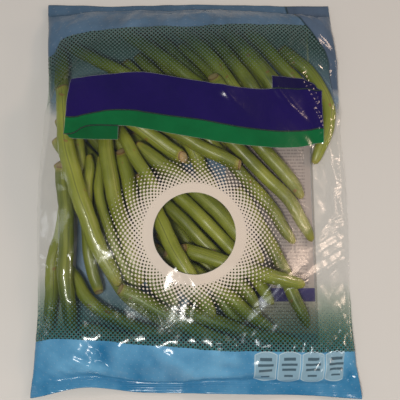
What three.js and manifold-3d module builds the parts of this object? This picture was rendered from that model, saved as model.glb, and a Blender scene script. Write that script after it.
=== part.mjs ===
// A sealed clear film bag of whole green beans, lying on its back. Millimetres, +Z up, +Y to the top seal.
import * as THREE from "three";
import { mergeVertices } from "three/addons/utils/BufferGeometryUtils.js";
import Module from "manifold-3d";

// Driving dimensions of the bag
const bagWidth = 198;
const bagLength = 262;
const filmThickness = 0.5; // a stand-in for film of about 0.06
const sealHeight = 9; // of the crimped strip across each end
const sideInset = 1.2; // of the film folded at each side
const leastRoom = 0.4; // between the front film and the back film where no bean parts them
const ventDiameter = 3; // steam vent in the front film, in the empty strip under the top seal
const ventSides = 12;
const ventPlace = new THREE.Vector2(30, 117);

// The bag's outline as seen from above: how far each side lies outside half the width, in even steps from the
// bottom up, and how far the bottom edge is drawn up, in even steps from the left
const leftOut = [2, -0.5, 1, 1.8, -1.4, 1, 3.5];
const rightOut = [3, -1.2, -0.5, -0.7, -2.7, -3.2, -7.5];
const bottomUp = [-1.5, 5, 2, 1.5, 1, 0.3, -1.8];
const bottomReach = 0.12; // the share of the bag's length that the drawn-up edge reaches into

// How far the back film curls off the counter at the ends: a mean lift, and waves from side to side
const curlReach = 26; // how far in from each end the curl starts
const topCurl = { lift: 1.5, wave: 0.9, span: 21, shift: 1 };
const bottomCurl = { lift: 2.2, wave: 1.6, span: 17, shift: 0 };

// The grid that the front film is drawn on
const across = 22;
const alongBag = 28;
const sideCrowding = 0.6; // how much closer the lines lie at the sides
const sidePull = 0.15; // how firmly the line next to each side is held down
const tighteningRounds = 160;
const liftingRounds = 60; // without smoothing, so that nothing is left poking through

// Driving dimensions of the beans
const beanSides = 7;
const beanGap = 0.4; // left between neighbours, and between a bean and the film
const sampleStep = 2; // along a bean, where the film is tested against it
const tipShare = 0.1; // of a bean's radius, at its tip
const endRoom = sealHeight + 10; // between the ends of the bag and the beans
const sideLean = 0.4; // how far the sides of the bag lean inwards, for each millimetre of height

// How the beans settle on one another
const orderRise = 0.35; // from one bean to the next, before they settle
const settlingRounds = 260;
const partingRounds = 120;
const sinkStep = 0.25;
const pressedHeight = 15; // above it the film presses
const pressShare = 0.03; // of the height over that, in each round
const homeShare = 0.04; // of the way back to its place, in each round
const tiny = 1e-6;

// Where the film is tested over a bean's cross-section: shares of its radius, in four ways
const shareSteps = [-1, -0.8, -0.5, 0, 0.5, 0.8, 1];
const ways = [0, 45, 90, 135].map((degrees) => {
  const turn = THREE.MathUtils.degToRad(degrees);
  return [Math.cos(turn), Math.sin(turn)];
});

// A bean's radius along its length, as shares of both, from the trimmed stem end to the tip
const beanProfile = [
  [0, 0.55],
  [0.03, 0.86],
  [0.13, 1],
  [0.28, 1],
  [0.44, 1],
  [0.6, 1],
  [0.76, 0.95],
  [0.89, 0.78],
  [0.965, 0.4],
];

// The layer on the back film, in slanting rows: distance from the middle, and where the bean starts and ends
const rowSlope = THREE.MathUtils.degToRad(-50);
const rowBow = 3; // how far the beans of a row bend to either side
const rowDiameter = 9.4;
const lowerRows = [
  [-59, -70, 22],
  [-47, -84, 8],
  [-47, 14, 72],
  [-36, -94, 0],
  [-36, 8, 88],
  [-25, -98, -4],
  [-25, 4, 92],
  [-14, -103, -9],
  [-14, -1, 68],
  [-3, -98, -8],
  [8, -102, -14],
  [19, -98, -10],
  [30, -96, -6],
  [41, -91, -4],
  [52, -84, 4],
  [63, -76, 6],
  [74, -66, 10],
  [85, -56, 16],
];

// The beans above, in the order they lie: diameter, then the line that each follows as seen from above
const upperBeans = [
  [9.8, [-88, 98], [-87, 70], [-81, 40], [-68, 6]],
  [9.4, [-86, 99], [-62, 82], [-36, 68], [-10, 54]],
  [9.6, [-52, 107], [-22, 90], [6, 68], [30, 46]],
  [9.0, [-34, 108], [-8, 86], [20, 56]],
  [9.8, [-16, 108], [6, 90], [18, 70], [34, 42]],
  [9.8, [0, 108], [19, 82], [34, 62], [52, 36]],
  [10.2, [12, 106], [34, 82], [50, 62], [70, 34]],
  [9.6, [30, 106], [52, 84], [69, 64], [80, 38]],
  [9.0, [54, 97], [78, 73], [86, 46], [75, 16]],
  [9.4, [-84, -52], [-65, -73], [-44, -83], [-10, -90]],
  [9.2, [-66, -42], [-40, -72], [-8, -95]],
  [9.2, [-70, -88], [-33, -93], [16, -95]],
  [9.4, [-48, -66], [-12, -80], [30, -93]],
  [9.0, [-8, -76], [30, -89], [66, -98]],
  [9.4, [-18, -40], [14, -66], [50, -86]],
  [9.4, [-54, -24], [-34, -56], [-8, -86]],
  [9.4, [-40, 38], [-16, -6], [-5, -27], [5, -52]],
  [9.6, [-12, 32], [11, -8], [24, -28], [37, -60]],
  [9.6, [-42, 26], [-27, -22], [-19, -44], [-4, -72]],
  [10.0, [-42, 24], [-4, -10], [13, -23], [38, -52]],
  [9.8, [-34, 8], [-13, -34], [-2, -54], [12, -84]],
  [9.2, [-22, -10], [3, -44], [13, -57], [34, -82]],
  [9.6, [-14, -2], [11, -38], [24, -54], [48, -76]],
  [8.8, [-80, -2], [-82, -44], [-86, -66], [-91, -92]],
  [9.8, [-82, 14], [-79, -20], [-74, -55], [-76, -96]],
  [8.4, [-52, -66], [-61, -26], [-67, 0], [-69, 21]],
  [6.8, [-34, -66], [-54, -29], [-61, -4], [-60, 20]],
  [9.0, [-60, 60], [-43, 24], [-20, -12]],
  [10.4, [-58, 44], [-48, 8], [-42, -27], [-31, -62]],
  [11.0, [-88, 62], [-84, 22], [-68, -30], [-46, -65]],
  [9.2, [27, 0], [47, -35], [60, -61], [70, -90]],
  [9.4, [-8, -40], [25, -52], [46, -56], [68, -62]],
  [9.4, [2, 38], [32, 8], [48, -13], [63, -37]],
  [11.0, [4, 66], [36, 34], [57, 9], [69, -8]],
  [9.8, [2, 50], [36, 17], [61, -8], [75, -35]],
  [9.8, [29, 15], [3, 25], [-20, 33], [-58, 54]],
  [9.8, [-7, 18], [-29, 29], [-50, 38], [-80, 62]],
];

const filmLook = { color: 0xdfe6ea, roughness: 0.15, metalness: 0, transparent: true, opacity: 0.3 };
const beanLook = { roughness: 0.45, metalness: 0 };
const beanColours = [0x6f7f26, 0x7c8a2c, 0x66792a, 0x868f33];

const wasm = await Module();
wasm.setup();

// A closed geometry as a solid that can be cut
function solidFrom(geometry) {
  geometry.deleteAttribute("normal");
  geometry.deleteAttribute("uv");
  const merged = mergeVertices(geometry);
  const vertProperties = new Float32Array(merged.attributes.position.array);
  const triVerts = new Uint32Array(merged.index.array);
  return new wasm.Manifold(new wasm.Mesh({ numProp: 3, vertProperties, triVerts }));
}

function geometryFrom(solid) {
  const mesh = solid.getMesh();
  const geometry = new THREE.BufferGeometry();
  geometry.setAttribute("position", new THREE.BufferAttribute(mesh.vertProperties, 3));
  geometry.setIndex(new THREE.BufferAttribute(mesh.triVerts, 1));
  geometry.computeVertexNormals();
  return geometry;
}

// A bean's middle line as stations, each with its radius and the place over the counter that it keeps to
function stationsAlong(diameter, plan, order) {
  const line = new THREE.CatmullRomCurve3(plan.map(([x, y]) => new THREE.Vector3(x, y, 0)));
  const shares = [...beanProfile, [1, tipShare]];
  const stations = shares.map(([along, share]) => {
    const home = line.getPointAt(along);
    const spot = home.clone().setZ(rowDiameter / 2 + order * orderRise);
    return { spot, home, radius: (share * diameter) / 2 };
  });
  return { stations, ties: tiesBetween(stations) };
}

// Pairs of a bean's stations and how far apart they stay, which keep its length and its bend
function tiesBetween(stations) {
  const ties = [];
  for (const reach of [1, 2, 4, stations.length - 1]) {
    for (let i = 0; i + reach < stations.length; i++) {
      const [a, b] = [stations[i], stations[i + reach]];
      ties.push({ a: a.spot, b: b.spot, length: a.home.distanceTo(b.home) });
    }
  }
  return ties;
}

function keepShape({ ties }) {
  for (const { a, b, length } of ties) {
    const way = b.clone().sub(a);
    way.multiplyScalar((way.length() - length) / way.length() / 2);
    a.add(way);
    b.sub(way);
  }
}

// How far along each of two straight runs their nearest points lie, as shares of the runs
function nearestShares(a, b, c, d) {
  const [u, v, w] = [b.clone().sub(a), d.clone().sub(c), a.clone().sub(c)];
  const [uu, uv, vv, uw, vw] = [u.dot(u), u.dot(v), v.dot(v), u.dot(w), v.dot(w)];
  const slant = uu * vv - uv * uv;
  const first = slant > tiny ? THREE.MathUtils.clamp((uv * vw - vv * uw) / slant, 0, 1) : 0.5;
  const second = THREE.MathUtils.clamp((uv * first + vw) / vv, 0, 1);
  return [THREE.MathUtils.clamp((uv * second - uw) / uu, 0, 1), second];
}

// Moves two runs apart until their beans clear each other
function partRuns(a, b, c, d) {
  const [s, t] = nearestShares(a.spot, b.spot, c.spot, d.spot);
  const way = c.spot.clone().lerp(d.spot, t).sub(a.spot.clone().lerp(b.spot, s));
  const lowerRadius = THREE.MathUtils.lerp(a.radius, b.radius, s);
  const upperRadius = THREE.MathUtils.lerp(c.radius, d.radius, t);
  const room = lowerRadius + upperRadius + beanGap;
  const apart = way.length();
  if (apart >= room) return;
  way.multiplyScalar((room - apart) / Math.max(apart, tiny) / 2);
  const [back, ahead] = [(1 - s) ** 2 + s ** 2, (1 - t) ** 2 + t ** 2];
  a.spot.addScaledVector(way, -(1 - s) / back);
  b.spot.addScaledVector(way, -s / back);
  c.spot.addScaledVector(way, (1 - t) / ahead);
  d.spot.addScaledVector(way, t / ahead);
}

function partBeans(lower, upper) {
  for (let i = 0; i + 1 < lower.stations.length; i++) {
    const [a, b] = [lower.stations[i], lower.stations[i + 1]];
    for (let k = 0; k + 1 < upper.stations.length; k++) {
      const [c, d] = [upper.stations[k], upper.stations[k + 1]];
      partRuns(a, b, c, d);
    }
  }
}

function boxOf({ stations }) {
  const box = new THREE.Box3().setFromPoints(stations.map(({ spot }) => spot));
  return box.expandByScalar(rowDiameter / 2 + beanGap);
}

function keepInBag({ stations }) {
  for (const { spot, radius } of stations) {
    const share = spot.y / bagLength + 0.5;
    const lowest = filmThickness + beanGap + radius;
    const lean = sideLean * Math.max(0, spot.z - lowest);
    const [left, right] = sidesAt(share);
    const aside = sideInset + lowest + lean;
    spot.x = THREE.MathUtils.clamp(spot.x, left + aside, right - aside);
    spot.y = THREE.MathUtils.clamp(spot.y, endRoom + lean - half.y, half.y - endRoom - lean);
    spot.z = Math.max(spot.z, lowest);
  }
}

// The beans sink, the film presses on the high ones, and each is kept clear of the others
function settle(beans) {
  for (let round = 0; round < settlingRounds + partingRounds; round++) {
    if (round < settlingRounds) {
      for (const { spot, home } of beans.flatMap(({ stations }) => stations)) {
        spot.z -= sinkStep + pressShare * Math.max(0, spot.z - pressedHeight);
        spot.x = THREE.MathUtils.lerp(spot.x, home.x, homeShare);
        spot.y = THREE.MathUtils.lerp(spot.y, home.y, homeShare);
      }
    }
    const boxes = beans.map(boxOf);
    beans.forEach((lower, i) => {
      beans.slice(i + 1).forEach((upper, k) => {
        if (boxes[i].intersectsBox(boxes[i + 1 + k])) partBeans(lower, upper);
      });
    });
    beans.forEach(keepShape);
    beans.forEach(keepInBag);
  }
}

// Points along the straight runs between stations
function samplesAlong({ stations }) {
  const samples = [];
  for (let run = 0; run < stations.length - 1; run++) {
    const [a, b] = [stations[run], stations[run + 1]];
    const steps = Math.ceil(a.spot.distanceTo(b.spot) / sampleStep);
    for (let step = 0; step <= steps; step++) {
      const { x, y, z } = a.spot.clone().lerp(b.spot, step / steps);
      samples.push({ x, y, z, radius: THREE.MathUtils.lerp(a.radius, b.radius, step / steps) });
    }
  }
  return samples;
}

// A lathed spindle whose rings are set square to the bean's own line
function beanGeometry({ stations }) {
  const rings = stations.slice(0, -1);
  const profile = [new THREE.Vector2(0, 0)];
  rings.forEach((ring, i) => profile.push(new THREE.Vector2(ring.radius, i)));
  profile.push(new THREE.Vector2(0, rings.length));
  const lathed = new THREE.LatheGeometry(profile, beanSides);
  lathed.deleteAttribute("normal");
  lathed.deleteAttribute("uv");
  const geometry = mergeVertices(lathed);
  const places = stations.map(({ spot }) => spot);
  const up = new THREE.Vector3(0, 0, 1);
  const spot = new THREE.Vector3();
  const position = geometry.attributes.position;
  for (let i = 0; i < position.count; i++) {
    spot.fromBufferAttribute(position, i);
    const k = Math.round(spot.y);
    const before = places[Math.max(k - 1, 0)];
    const after = places[Math.min(k + 1, places.length - 1)];
    const ahead = after.clone().sub(before).normalize();
    const side = new THREE.Vector3().crossVectors(ahead, up).normalize();
    const over = new THREE.Vector3().crossVectors(side, ahead);
    const { x, z } = spot;
    spot.copy(places[k]).addScaledVector(side, x).addScaledVector(over, z);
    position.setXYZ(i, spot.x, spot.y, spot.z);
  }
  geometry.setIndex(keepRealTriangles(geometry.index.array));
  geometry.computeVertexNormals();
  return geometry;
}

function keepRealTriangles(index) {
  const kept = [];
  for (let i = 0; i < index.length; i += 3) {
    const [a, b, c] = [index[i], index[i + 1], index[i + 2]];
    if (a !== b && b !== c && c !== a) kept.push(a, b, c);
  }
  return kept;
}

function rowPlan([distance, from, to]) {
  const ahead = [Math.cos(rowSlope), Math.sin(rowSlope)];
  const aside = [-ahead[1], ahead[0]];
  const bow = rowBow * Math.sin(distance);
  const at = (along, out) => [0, 1].map((k) => aside[k] * (distance + out) + ahead[k] * along);
  return [at(from, 0), at((from + to) / 2, bow), at(to, 0)];
}

function layBeans() {
  const plans = [...lowerRows.map((row) => [rowDiameter, ...rowPlan(row)]), ...upperBeans];
  const beans = plans.map(([diameter, ...plan], order) => stationsAlong(diameter, plan, order));
  settle(beans);
  return beans;
}

const half = { x: bagWidth / 2, y: bagLength / 2 };

function curveThrough(values) {
  return new THREE.SplineCurve(values.map((value, i) => new THREE.Vector2(i, value)));
}

const [leftCurve, rightCurve, bottomCurve] = [leftOut, rightOut, bottomUp].map(curveThrough);

// Where the bag's two side edges lie, at a share of its length from the bottom
function sidesAt(share) {
  return [-half.x - leftCurve.getPoint(share).y, half.x + rightCurve.getPoint(share).y];
}

// Height of the lying back film over the counter
function curl(x, y) {
  const near = THREE.MathUtils.smoothstep(Math.abs(y), half.y - curlReach, half.y);
  const { lift, wave, span, shift } = y > 0 ? topCurl : bottomCurl;
  return near * (lift + wave * Math.sin(x / span + shift));
}

// Where the film's grid lines cross: closer at the sides, with one line along each seal
const columnShares = Array.from({ length: across - 1 }, (_, i) => {
  const even = i / (across - 2);
  return even - (sideCrowding * Math.sin(2 * Math.PI * even)) / (2 * Math.PI);
});

function filmSpot(column, row) {
  const up = row === 0 ? 0 : row === alongBag ? 1 : null;
  const within = (row - 1) / (alongBag - 2);
  const share = up ?? THREE.MathUtils.lerp(sealHeight, bagLength - sealHeight, within) / bagLength;
  const [left, right] = sidesAt(share);
  const inwards = columnShares[THREE.MathUtils.clamp(column - 1, 0, across - 2)];
  const x = THREE.MathUtils.lerp(left + sideInset, right - sideInset, inwards);
  const drawnUp = bottomCurve.getPoint(inwards).y * (1 - THREE.MathUtils.smoothstep(share, 0, bottomReach));
  const y = (share - 0.5) * bagLength + drawnUp;
  if (column === 0) return { x: left, y };
  return { x: column === across ? right : x, y };
}

// Heights of the front film's inner face at every crossing, drawn tight over the beans
function frontHeights(laidSamples) {
  const spots = [];
  for (let row = 0; row <= alongBag; row++) {
    spots.push([]);
    for (let column = 0; column <= across; column++) {
      const { x, y } = filmSpot(column, row);
      const least = curl(x, y) + filmThickness + leastRoom;
      spots[row].push({ x, y, least, z: least });
    }
  }
  const tops = beanTops(laidSamples, spots);
  for (let round = 0; round < tighteningRounds + liftingRounds; round++) {
    if (round < tighteningRounds) smoothOnce(spots);
    for (const top of tops) liftOver(top);
  }
  return spots.map((row) => row.map(({ z }) => z));
}

function smoothOnce(spots) {
  for (let row = 2; row < alongBag - 1; row++) {
    for (let column = 1; column < across; column++) {
      const line = spots[row];
      const spot = line[column];
      const sides = [line[Math.max(column - 1, 1)], line[Math.min(column + 1, across - 1)]];
      const mean = (sides[0].z + sides[1].z + spots[row - 1][column].z + spots[row + 1][column].z) / 4;
      const pull = column === 1 || column === across - 1 ? sidePull : 0;
      spot.z = Math.max(spot.least, THREE.MathUtils.lerp(mean, spot.least, pull));
    }
  }
}

// Points over each bean that the film has to clear, with the triangle of the grid above each
function beanTops(laidSamples, spots) {
  const tops = [];
  for (const s of laidSamples) {
    const reach = s.radius + beanGap;
    for (const share of shareSteps) {
      for (const [dx, dy] of ways) {
        const need = s.z + reach * Math.sqrt(1 - share * share);
        const above = triangleAbove(s.x + dx * share * reach, s.y + dy * share * reach, spots);
        if (above) tops.push({ need, ...above });
      }
    }
  }
  return tops;
}

// How far a grid line along the bottom may stray from level
const rowRoom = 8;

// The grid's squares are split from their lower left to their upper right corner
function triangleAbove(x, y, spots) {
  for (let row = 1; row < alongBag - 1; row++) {
    if (y < spots[row][1].y - rowRoom || y > spots[row + 1][1].y + rowRoom) continue;
    for (let column = 1; column < across - 1; column++) {
      const [a, b] = [spots[row][column], spots[row][column + 1]];
      const [c, d] = [spots[row + 1][column], spots[row + 1][column + 1]];
      for (const corners of [[a, b, d], [a, d, c]]) {
        const weights = weightsIn(corners, x, y);
        if (weights.every((w) => w > -tiny)) return { corners, weights };
      }
    }
  }
  return null;
}

function weightsIn([a, b, c], x, y) {
  const area = (b.x - a.x) * (c.y - a.y) - (c.x - a.x) * (b.y - a.y);
  const wb = ((x - a.x) * (c.y - a.y) - (c.x - a.x) * (y - a.y)) / area;
  const wc = ((b.x - a.x) * (y - a.y) - (x - a.x) * (b.y - a.y)) / area;
  return [1 - wb - wc, wb, wc];
}

function liftOver({ need, corners, weights }) {
  const height = corners.reduce((sum, corner, i) => sum + weights[i] * corner.z, 0);
  if (height >= need) return;
  const total = weights.reduce((sum, w) => sum + w * w, 0);
  corners.forEach((corner, i) => (corner.z += ((need - height) * weights[i]) / total));
}

// A box with the grid on its front and its back, each corner moved to its place on the film
function pillow(columns, rows, place) {
  const box = new THREE.BoxGeometry(1, 1, 1, columns, rows, 1);
  const position = box.attributes.position;
  for (let i = 0; i < position.count; i++) {
    const column = Math.round((position.getX(i) + 0.5) * columns);
    const row = Math.round((position.getY(i) + 0.5) * rows);
    const { x, y, z } = place(column, row, position.getZ(i) > 0);
    position.setXYZ(i, x, y, z);
  }
  return solidFrom(box);
}

function filmGeometry(laidSamples) {
  const front = frontHeights(laidSamples);
  const outer = pillow(across, alongBag, (column, row, isFront) => {
    const { x, y } = filmSpot(column, row);
    if (!isFront) return { x, y, z: curl(x, y) };
    const sealed = row <= 1 || row >= alongBag - 1;
    const inwards = THREE.MathUtils.clamp(column, 1, across - 1);
    const room = sealed ? curl(x, y) + filmThickness + leastRoom : front[row][inwards];
    return { x, y, z: room + filmThickness };
  });
  const inner = pillow(across - 2, alongBag - 2, (column, row, isFront) => {
    const { x, y } = filmSpot(column + 1, row + 1);
    const sealed = row === 0 || row === alongBag - 2;
    const backZ = curl(x, y) + filmThickness;
    const frontZ = sealed ? backZ + leastRoom : front[row + 1][column + 1];
    return { x, y, z: isFront ? frontZ : backZ };
  });
  const vent = new THREE.CylinderGeometry(ventDiameter / 2, ventDiameter / 2, bagLength, ventSides);
  vent.rotateX(Math.PI / 2);
  const ventFoot = curl(ventPlace.x, ventPlace.y) + filmThickness + leastRoom / 2;
  vent.translate(ventPlace.x, ventPlace.y, ventFoot + bagLength / 2);
  return geometryFrom(outer.subtract(inner).subtract(solidFrom(vent)));
}

const bag = new THREE.Group();
const beans = layBeans();
const laidSamples = beans.flatMap(samplesAlong);

const film = new THREE.Mesh(filmGeometry(laidSamples), new THREE.MeshStandardMaterial(filmLook));
film.name = "film_bag";
bag.add(film);

beans.forEach((laid, i) => {
  const color = beanColours[i % beanColours.length];
  const bean = new THREE.Mesh(beanGeometry(laid), new THREE.MeshStandardMaterial({ color, ...beanLook }));
  bean.name = "bean_" + String(i + 1).padStart(2, "0");
  bag.add(bean);
});

// The origin is on the counter, under the middle of the bag
const bounds = new THREE.Box3().setFromObject(bag);
bag.position.set(-(bounds.min.x + bounds.max.x) / 2, -(bounds.min.y + bounds.max.y) / 2, -bounds.min.z);

export default bag;
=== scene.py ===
# A sealed film bag of whole green beans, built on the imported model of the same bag.
import math
import random

import bmesh
import bpy
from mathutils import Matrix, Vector, noise
from mathutils.bvhtree import BVHTree
from mathutils.geometry import interpolate_bezier


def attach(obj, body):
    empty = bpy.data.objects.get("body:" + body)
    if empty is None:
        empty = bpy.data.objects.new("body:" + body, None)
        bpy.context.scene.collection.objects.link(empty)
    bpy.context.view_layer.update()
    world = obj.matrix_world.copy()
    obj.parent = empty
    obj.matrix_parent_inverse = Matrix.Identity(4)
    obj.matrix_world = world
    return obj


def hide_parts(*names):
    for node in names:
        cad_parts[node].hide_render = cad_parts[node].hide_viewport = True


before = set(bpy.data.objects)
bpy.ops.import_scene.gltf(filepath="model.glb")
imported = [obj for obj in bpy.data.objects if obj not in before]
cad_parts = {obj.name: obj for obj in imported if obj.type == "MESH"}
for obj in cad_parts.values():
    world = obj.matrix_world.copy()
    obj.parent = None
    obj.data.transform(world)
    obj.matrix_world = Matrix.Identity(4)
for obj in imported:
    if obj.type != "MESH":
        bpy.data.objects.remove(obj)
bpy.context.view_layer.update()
scene = bpy.context.scene
random.seed(7)


def mixed(a, b, share):
    return a + (b - a) * share


def smoothed(value, low, high):
    share = min(max((value - low) / (high - low), 0), 1)
    return share * share * (3 - 2 * share)


def between(value, shares, levels):  # straight runs through a few levels
    for i in range(len(shares) - 2):
        if value < shares[i + 1]:
            break
    share = min(max((value - shares[i]) / (shares[i + 1] - shares[i]), 0), 1)
    return mixed(levels[i], levels[i + 1], share)


def curveAt(levels, share):  # a smooth line through evenly spaced levels
    place = min(max(share, 0), 1) * (len(levels) - 1)
    i = min(int(place), len(levels) - 2)
    t = place - i
    a, b, c, d = (levels[min(max(k, 0), len(levels) - 1)] for k in range(i - 1, i + 3))
    return b + 0.5 * t * (c - a + t * (2 * a - 5 * b + 4 * c - d + t * (3 * (b - c) + d - a)))


def finishPiece(name, bm, materials, nodes):
    mesh = bpy.data.meshes.new(name)
    for material in materials:
        mesh.materials.append(material)
    bm.to_mesh(mesh)
    bm.free()
    mesh.shade_smooth()
    piece = bpy.data.objects.new(name, mesh)
    scene.collection.objects.link(piece)
    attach(piece, "root")
    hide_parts(*nodes)
    return piece


def fill(tree, made, inputs):  # links a socket, or sets a plain value
    for key, value in inputs.items():
        if isinstance(value, bpy.types.NodeSocket):
            tree.links.new(value, made.inputs[key])
        else:
            made.inputs[key].default_value = value
    return made


def put(tree, kind, inputs=None, **settings):
    made = tree.nodes.new("ShaderNode" + kind)
    for name, value in settings.items():
        setattr(made, name, value)
    return fill(tree, made, inputs or {})


def sums(tree, kind, a, b=0.0, c=0.0, clamp=False):
    return put(tree, "Math", {0: a, 1: b, 2: c}, operation=kind, use_clamp=clamp).outputs[0]


def times(tree, a, b):
    return sums(tree, "MULTIPLY", a, b)


def most(tree, a, b):
    return sums(tree, "MAXIMUM", a, b)


def ramp(tree, value, low, high, start=0.0, end=1.0):
    inputs = {"Value": value, "From Min": low, "From Max": high, "To Min": start, "To Max": end}
    return put(tree, "MapRange", inputs).outputs["Result"]


def blend(tree, share, under, over):
    under, over = ((*c, 1) if isinstance(c, tuple) else c for c in (under, over))
    mix = put(tree, "Mix", {0: share, 6: under, 7: over}, data_type="RGBA")  # its colour sockets
    return mix.outputs[2]


def newGroup(name, inputs, outputs):
    group = bpy.data.node_groups.new(name, "ShaderNodeTree")
    for label, kind, value in inputs:
        socket = group.interface.new_socket(label, in_out="INPUT", socket_type="NodeSocket" + kind)
        if value is not None:
            socket.default_value = value
    for label, kind in outputs:
        group.interface.new_socket(label, in_out="OUTPUT", socket_type="NodeSocket" + kind)
    return group, group.nodes.new("NodeGroupInput"), group.nodes.new("NodeGroupOutput")


def useGroup(tree, group, inputs):
    return put(tree, "Group", inputs, node_tree=group)


def newMaterial(name):
    material = bpy.data.materials.new(name)
    material.use_nodes = True
    tree = material.node_tree
    tree.nodes.clear()
    return material, tree, put(tree, "OutputMaterial")


beanSkinLook = {
    "deep": (0.076, 0.101, 0.005),
    "fresh": (0.188, 0.216, 0.012),
    "pale": (0.325, 0.345, 0.038),
    "yellowed": (0.340, 0.290, 0.040),
    "groove": (0.050, 0.065, 0.006),
    "cut": (0.520, 0.370, 0.170),
    "cutRim": (0.190, 0.110, 0.030),
    "spot": (0.220, 0.090, 0.018),
    "roughness": (0.36, 0.52),
    "sheen": 0.14,
    "bump": (0.35, 0.0005),
    "depth": (0.12, 0.0025),  # how much light goes under the skin, and how far
}


def makeBeanMaterial():
    look = beanSkinLook
    material, tree, out = newMaterial("beanSkin")
    skin = put(tree, "Attribute", attribute_name="skin").outputs["Vector"]
    share = put(tree, "Attribute", attribute_name="share").outputs["Fac"]
    tone = put(tree, "Attribute", attribute_name="tone").outputs["Fac"]
    place = put(tree, "TexCoord").outputs["Object"]

    # long streaks and the seam, which follow the pod
    stretched = put(tree, "Mapping", {"Vector": skin, "Scale": (3.2, 3.2, 0.35)}).outputs[0]
    apart = put(tree, "VectorMath", {0: stretched, 1: place}, operation="ADD").outputs[0]
    streaks = put(tree, "TexNoise", {"Vector": apart, "Scale": 1.6, "Detail": 4.0}).outputs["Fac"]
    patches = put(tree, "TexNoise", {"Vector": place, "Scale": 38.0, "Detail": 3.0}).outputs["Fac"]
    grain = put(tree, "TexNoise", {"Vector": place, "Scale": 900.0, "Detail": 2.0}).outputs["Fac"]
    fromSeam = sums(tree, "ABSOLUTE", put(tree, "SeparateXYZ", {0: skin}).outputs["X"])
    seam = ramp(tree, fromSeam, 0.30, 0.10)
    groove = ramp(tree, fromSeam, 0.085, 0.035)

    freshness = sums(tree, "MULTIPLY_ADD", streaks, 0.7, times(tree, tone, 0.55))
    colour = blend(tree, ramp(tree, freshness, 0.30, 0.85), look["deep"], look["fresh"])
    lightest = times(tree, ramp(tree, patches, 0.46, 0.72), 0.62)
    colour = blend(tree, lightest, colour, look["pale"])
    colour = blend(tree, times(tree, seam, 0.35), colour, look["pale"])
    marked = ramp(tree, tone, 0.35, 0.95, 0.05, 0.65)
    colour = blend(tree, times(tree, groove, marked), colour, look["groove"])
    colour = blend(tree, ramp(tree, grain, 0.66, 0.80, 0.0, 0.30), colour, look["pale"])
    tipMask = ramp(tree, share, 0.93, 1.0, 0.0, 0.75)
    stemMask = ramp(tree, share, 0.05, 0.012, 0.0, 0.6)
    colour = blend(tree, most(tree, tipMask, stemMask), colour, look["yellowed"])
    colour = blend(tree, ramp(tree, share, 0.0105, 0.0075), colour, look["cutRim"])
    colour = blend(tree, ramp(tree, share, 0.0045, 0.0015), colour, look["cut"])

    # small rust marks, on a few beans only
    marks = put(tree, "TexNoise", {"Vector": place, "Scale": 130.0, "Detail": 1.0}).outputs["Fac"]
    marks = times(tree, ramp(tree, marks, 0.735, 0.76), 0.7)
    colour = blend(tree, marks, colour, look["spot"])

    # fine drops of water, in patches
    cells = put(tree, "TexVoronoi", {"Vector": place, "Scale": 420.0}).outputs["Distance"]
    damp = put(tree, "TexNoise", {"Vector": place, "Scale": 55.0, "Detail": 1.0}).outputs["Fac"]
    drops = times(tree, ramp(tree, cells, 0.26, 0.10), ramp(tree, damp, 0.52, 0.60))

    rough = ramp(tree, streaks, 0.3, 0.7, *look["roughness"])
    rough = sums(tree, "MULTIPLY_ADD", drops, -0.24, rough)
    height = sums(tree, "ADD", times(tree, streaks, 0.8), times(tree, grain, 0.22))
    height = sums(tree, "MULTIPLY_ADD", groove, -0.5, height)
    height = sums(tree, "MULTIPLY_ADD", drops, 0.8, height)
    strength, distance = look["bump"]
    bump = put(tree, "Bump", {"Strength": strength, "Distance": distance, "Height": height})
    under, reach = look["depth"]
    shader = put(tree, "BsdfPrincipled", {
        "Base Color": colour, "Roughness": rough, "Normal": bump.outputs[0],
        "Coat Weight": look["sheen"], "Coat Roughness": 0.22,
        "Subsurface Weight": under, "Subsurface Radius": (0.5, 0.6, 0.15), "Subsurface Scale": reach,
    })
    tree.links.new(shader.outputs[0], out.inputs["Surface"])
    return material


beanShape = {
    "sides": 20,
    "rings": 72,
    "flatness": 0.93,  # through the seams, as a share of the width
    "seamDepth": 0.045,
    "seamWidth": 0.20,
    "swelling": 0.028,
    "seedPitch": 0.0116,
    "sway": 0.00022,
    "twist": 0.8,
    "unevenness": 0.03,
    "firstRing": 0.006,  # past the cut, as a share of the length
    "girthShares": (0, 0.012, 0.03, 0.07, 0.13, 0.28, 0.60, 0.76, 0.86, 0.92, 0.96, 0.985, 1),
    "girths": (0.69, 0.78, 0.88, 0.96, 1.0, 1.0, 1.0, 0.98, 0.92, 0.83, 0.68, 0.47, 0.16),
    "cutRings": ((0, 0.0), (0, 0.36), (0, 0.62), (0.0022, 0.70)),  # shares of the length and the girth
    "slants": (-0.2, 0.9),  # of the cut ends, lowest and highest
    "slantReach": 0.07,
}


def stationsOf(node):  # the middles of the CAD bean's rings, from its cut end
    bm = bmesh.new()
    bm.from_mesh(node.data)
    bmesh.ops.remove_doubles(bm, verts=bm.verts, dist=1e-6)
    pole = next(v for v in bm.verts if len(v.link_edges) == 7)
    rings, seen = [[pole]], {pole}
    while len(seen) < len(bm.verts):
        ring = {edge.other_vert(v) for v in rings[-1] for edge in v.link_edges} - seen
        rings.append(list(ring))
        seen |= ring
    middles = [sum((v.co for v in ring), Vector()) / len(ring) for ring in rings]
    girth = max((v.co - middle).length for ring, middle in zip(rings, middles) for v in ring)
    bm.free()
    if (middles[1] - middles[0]).length > (middles[-1] - middles[-2]).length:
        middles.reverse()
    return middles[1:], girth


def smoothLine(points, steps):
    line = []
    for i in range(len(points) - 1):
        a, b = points[i], points[i + 1]
        before, after = points[max(i - 1, 0)], points[min(i + 2, len(points) - 1)]
        reach = (b - a).length / 3
        line += interpolate_bezier(a, a + (b - before).normalized() * reach,
                                   b - (after - a).normalized() * reach, b, steps)[:-1]
    return line + [points[-1]]


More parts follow.
